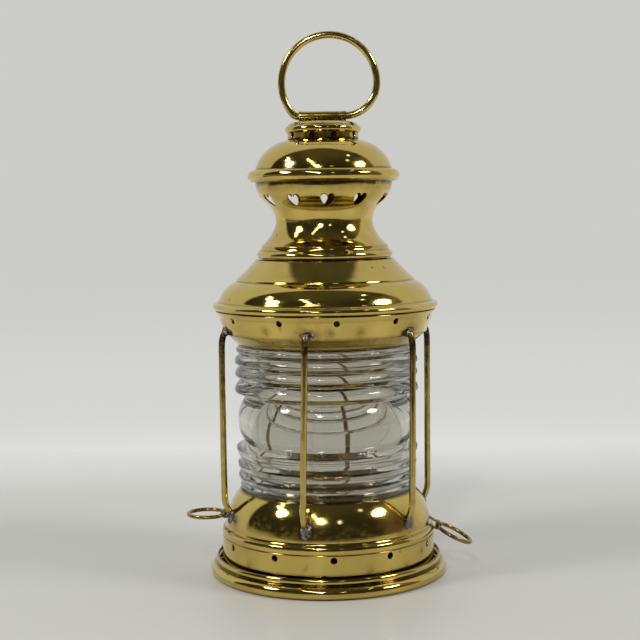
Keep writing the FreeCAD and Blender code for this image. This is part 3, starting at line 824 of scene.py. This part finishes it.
# ---- bail ----------------------------------------------------------------
def bail_path():
    """Straight through the sleeve, a bend at each end of it, and a round over the top."""
    (cx, cz), big, ends = BAIL_C, BAIL_R, []
    for side, bend in BAIL_BENDS:
        fz = SLEEVE_Z + bend
        fx = cx + side * math.sqrt((big - bend) ** 2 - (cz - fz) ** 2)
        ends.append((fx, fz, bend, math.atan2(fz - cz, fx - cx)))
    (lx, lz, lb, la), (rx, rz, rb, ra) = ends
    pts = [(lx + (rx - lx) * k / 12, SLEEVE_Z) for k in range(13)]
    pts += [(rx + rb * math.sin(a), rz - rb * math.cos(a))
            for a in ((ra + math.pi / 2) * k / 14 for k in range(1, 15))]
    sweep = la + math.tau - ra
    pts += [(cx + big * math.cos(ra + sweep * k / 90), cz + big * math.sin(ra + sweep * k / 90))
            for k in range(1, 91)]
    rest = math.tau - (la % math.tau + math.pi / 2) % math.tau
    pts += [(lx + lb * math.cos(la + rest * k / 8), lz + lb * math.sin(la + rest * k / 8))
            for k in range(1, 8)]
    return [Vector((x, 0, z)) for x, z in pts]


bail = tube("bail_ring_wire", bail_path(), BAIL_WIRE, 28, closed=True)
paint(bail, "grime_and_shade", lambda p: 0.35 * smooth(237.5, 234.5, p.z))
BAIL = brass_wire("bail_brass", (0.66, 0.52, 0.17, 1), 0.35, 0.13)
fit(bail, "bail", ["bail_ring"], BAIL)

tube_path = sheet_loop([(2.45, -12.2), (2.45, 11.8)], 0.5, 0.12)
sleeve = along_x(lathe("bail_sleeve_tube", tube_path, 64), 0, SLEEVE_Z)
paint(sleeve, "grime_and_shade", lambda p: max(0.8 * smooth(10.8, 12, abs(p.x)), 0.7 * smooth(232.9, 231.6, p.z)))
fit(sleeve, "housing", ["bail_sleeve"], BAIL)

beads = [lump(Vector((-10.4 + 2.6 * k, -0.01, 231.3)), 1.45, 5.1 * k, (0.95, 1.1, 0.55))
         for k in range(9)]
fillet = piece("sleeve_solder_fillet", *merged(beads), 180)
fit(fillet, "housing", ["sleeve_solder"], SOLDER)


# ---- lash rings ----------------------------------------------------------
def strap_loop(r, z, low, high):
    """Outline, in (outwards, up), of sheet folded round the ring's wire."""
    mid, root = EYE_MID, 50.6
    nose = [(r + mid * math.cos(a), z + mid * math.sin(a))
            for a in (math.radians(105 - 210 * k / 18) for k in range(19))]
    line = [(root, high - 0.5)] + nose + [(root, low + 0.5)]
    out = []
    for side in (0.36, -0.36):
        row = []
        for k, p in enumerate(line):
            a, b = line[max(0, k - 1)], line[min(len(line) - 1, k + 1)]
            way = np.array(b) - np.array(a)
            way = way / np.hypot(*way)
            row.append((p[0] - way[1] * side, p[1] + way[0] * side))
        out.append(row)
    return out[0] + out[1][::-1]


def lash(side):
    """A lash ring and the strap that holds it."""
    angle, r, z, droop, (low, high) = LASH[side]
    place = turned_to(angle)
    tilt = Matrix.Translation((0, -r, z)) @ Matrix.Rotation(math.radians(droop), 4, "X")
    pts = []
    for k in range(72):
        a = math.tau * k / 72
        wobble = RING_R + 0.12 * math.sin(2 * a + 0.6) + 0.06 * noise.noise(Vector((a, droop, 0)) * 2)
        pts.append(place @ tilt @ Vector((wobble * math.sin(a), -RING_R + wobble * math.cos(a), 0)))
    ring = tube("lash_ring_%s_wire" % side, pts, RING_WIRE, 18, closed=True)
    paint(ring, "grime_and_shade", lambda p: 0.7 if side == "right" else 0.15)
    fit(ring, side + "_ring", ["lash_ring_" + side], TARNISHED)
    outline = strap_loop(r, z, low, high)
    n = len(outline)
    verts = [place @ Vector((x, -y, h)) for x in (-2.0, 2.0) for y, h in outline]
    faces = [(k, (k + 1) % n, (k + 1) % n + n, k + n) for k in range(n)]
    half = n // 2
    for base_index in (0, n):
        faces += [(base_index + k, base_index + k + 1, base_index + n - 2 - k, base_index + n - 1 - k)
                  for k in range(half - 1)]
    strap = piece("lash_strap_%s_fold" % side, verts, faces, 30)
    outward(strap.data)
    mod = strap.modifiers.new("edge", "BEVEL")
    mod.width, mod.segments, mod.limit_method = 0.14 * MM, 2, "ANGLE"
    settle(bake(strap), 50)
    paint(strap, "grime_and_shade", lambda p: 0.6)
    fit(strap, "housing", ["lash_strap_" + side], TARNISHED)


for side_name in LASH:
    lash(side_name)


# ---- floor, lights, camera -----------------------------------------------
def floor():
    """Pale paper, painted paler behind as a band of light, fading out behind and to the sides."""
    rings, segs = [0.0, 0.08, 0.2, 0.4, 0.7, 1.0, 1.05], 96
    verts, faces = [(0, 0, 0)], []
    for r in rings[1:]:
        verts += [(r * math.sin(math.tau * k / segs), r * math.cos(math.tau * k / segs), 0)
                  for k in range(segs)]
    faces += [(0, 1 + (k + 1) % segs, 1 + k) for k in range(segs)]
    for j in range(len(rings) - 2):
        a, b = 1 + j * segs, 1 + (j + 1) * segs
        faces += [(a + k, a + (k + 1) % segs, b + (k + 1) % segs, b + k) for k in range(segs)]
    mesh = bpy.data.meshes.new("floor")
    mesh.from_pydata(verts, [], faces)
    obj = bpy.data.objects.new("floor", mesh)
    bpy.context.scene.collection.objects.link(obj)
    outward(mesh)
    m = Nodes("floor_paper")
    depth = m.add("ShaderNodeSeparateXYZ", {0: m.place}).outputs[1]
    paper = m.mix(m.span(depth, -0.16, 0.05), (0.79, 0.79, 0.76, 1), (0.80, 0.80, 0.775, 1))
    # Paler from 8 to 20 cm behind: a painted band of light on the paper.
    m.set(Base_Color=m.mix(m.span(depth, 0.08, 0.2), paper, (0.90, 0.90, 0.88, 1)))
    m.set(Roughness=0.42, Normal=m.bump(m.noise(1400, 3), 0.00001, 0.4))
    away = m.add("ShaderNodeVectorMath", {0: m.place}, operation="LENGTH").outputs["Value"]
    ends = m.math("MULTIPLY", m.span(depth, 0.20, 0.36, 1, 0), m.span(depth, -0.53, -0.48))
    m.set(Alpha=m.math("MULTIPLY", ends, m.span(away, 0.8, 1.0, 1, 0)))
    mesh.materials.append(m.material)


floor()


def world():
    """Pale sweep behind, dark room with a dim ceiling in front; plain and pale to the camera, with a painted
    band of light low down.
    """
    w = bpy.data.worlds.new("studio")
    bpy.context.scene.world = w
    w.use_nodes = True
    tree = w.node_tree
    nodes, links = tree.nodes, tree.links
    back = nodes["Background"]

    def wire(node, *values):
        for socket, value in zip(node.inputs, values):
            if isinstance(value, bpy.types.NodeSocket):
                links.new(value, socket)
            else:
                socket.default_value = value
        return node

    def calc(op, a, b=0.0):
        node = nodes.new("ShaderNodeMath")
        node.operation = op
        return wire(node, a, b).outputs[0]

    def span(value, a, b, lo=0.0, hi=1.0):
        node = nodes.new("ShaderNodeMapRange")
        node.interpolation_type = "SMOOTHSTEP"
        return wire(node, value, a, b, lo, hi).outputs["Result"]

    def mix(share, a, b):
        node = nodes.new("ShaderNodeMix")
        node.data_type = "RGBA"
        for key, value in ((0, share), (6, a), (7, b)):
            if isinstance(value, bpy.types.NodeSocket):
                links.new(value, node.inputs[key])
            else:
                node.inputs[key].default_value = value
        return node.outputs[2]

    def clutter(scale, detail):
        node = nodes.new("ShaderNodeTexNoise")
        node.inputs["Scale"].default_value, node.inputs["Detail"].default_value = scale, detail
        links.new(way, node.inputs["Vector"])
        return node.outputs["Fac"]

    way = nodes.new("ShaderNodeTexCoord").outputs["Generated"]
    x, y, z = wire(nodes.new("ShaderNodeSeparateXYZ"), way).outputs
    turn = calc("MULTIPLY", calc("ARCTAN2", x, calc("MULTIPLY", y, -1.0)), 57.2958)
    rise = calc("MULTIPLY", calc("ARCSINE", z), 57.2958)
    lean = calc("ADD", calc("MULTIPLY", z, 0.05), calc("MULTIPLY", x, 0.06))
    front = span(calc("ADD", y, lean), 0.215, 0.14)
    sweep = mix(span(rise, -8.0, -3.0), (0.70, 0.695, 0.665, 1), (0.61, 0.625, 0.62, 1))
    ceiling = mix(clutter(2.2, 3.0), (0.035, 0.033, 0.022, 1), (0.125, 0.12, 0.085, 1))
    speck = mix(span(clutter(11.0, 6.0), 0.50, 0.68), (0.03, 0.03, 0.026, 1), (0.22, 0.20, 0.16, 1))
    low = mix(span(rise, 8.0, 32.0), speck, (0.033, 0.033, 0.028, 1))
    right = calc("MULTIPLY", span(turn, 56.0, 80.0), span(rise, 55.0, 38.0))
    room = mix(right, mix(span(rise, 34.0, 70.0), low, ceiling), (0.17, 0.13, 0.075, 1))
    sill = calc("MULTIPLY", calc("MULTIPLY", span(rise, -6.0, -3.0), span(rise, 5.0, 2.0)),
                span(turn, -58.0, -68.0))
    seen = mix(front, sweep, mix(sill, room, (0.33, 0.31, 0.27, 1)))
    path = nodes.new("ShaderNodeLightPath")
    # Paler band just below the horizon for the camera: a painted band of light, going on from the floor's.
    near = mix(span(rise, -12.0, -8.2), (0.80, 0.805, 0.77, 1), (0.67, 0.675, 0.64, 1))
    plain = mix(span(rise, -8.2, -3.0), near, (0.60, 0.605, 0.575, 1))
    links.new(mix(path.outputs["Is Camera Ray"], seen, plain), back.inputs["Color"])


world()


def toward(azimuth, elevation):
    """Unit vector; azimuth 0 is the front."""
    a, e = math.radians(azimuth), math.radians(elevation)
    return Vector((math.sin(a) * math.cos(e), -math.cos(a) * math.cos(e), math.sin(e)))


def lamp(name, start, end, width, radiance, far):
    """Oval lamp stretched between two directions, facing the middle of the lantern."""
    a, b = toward(*start), toward(*end)
    way = (a + b).normalized()
    across = (b - a).normalized()
    data = bpy.data.lights.new(name, "AREA")
    data.shape, data.size, data.size_y = "ELLIPSE", (b - a).length * far, math.radians(width) * far
    data.energy = radiance * math.pi * data.size * data.size_y * math.pi / 4
    data.color = (1.0, 0.985, 0.95)
    obj = bpy.data.objects.new(name, data)
    place = Matrix((across, way.cross(across), way)).transposed().to_4x4()
    obj.matrix_world = Matrix.Translation(Vector((0, 0, 0.12)) + way * far) @ place
    bpy.context.scene.collection.objects.link(obj)


for k, (start, end, width, radiance, far) in enumerate([
        ((-73.5, 38), (-58.5, 36), 12, 20, 1.5), ((-84, 45), (-70, 42), 4, 12, 1.5),
        ((60, 32), (80, 35), 11, 18, 1.5), ((-10, 28), (-10, 38), 5, 9, 1.2),
        ((-14, 32), (-4, 32), 5, 10, 1.2), ((-10.3, 31), (-7.7, 31), 2.6, 200, 1.2),
        ((-38, 56), (-12, 33), 0.9, 26, 1.5),
        ((14, 29), (14, 33), 2.5, 5, 1.5), ((48, 48), (53, 48), 3, 4, 1.5),
        ((-90, 51), (-76, 48), 2.5, 7, 1.5), ((66, 60), (72, 61), 3, 6, 1.5)]):
    lamp("lamp_%d" % k, start, end, width, radiance, far)

camera_data = bpy.data.cameras.new("camera")
camera_data.sensor_width, camera_data.lens = 36.0, 77.2
camera_data.clip_start = 0.01
camera = bpy.data.objects.new("camera", camera_data)
camera.matrix_world = (Matrix.Translation((-0.00282, -0.7028, 0.1899)) @
                       Matrix.Rotation(math.radians(90 - 4.87), 4, "X") @
                       Matrix.Rotation(math.radians(-0.79), 4, "Z"))
bpy.context.scene.collection.objects.link(camera)
bpy.context.scene.camera = camera
bpy.context.scene.view_settings.view_transform = "Standard"
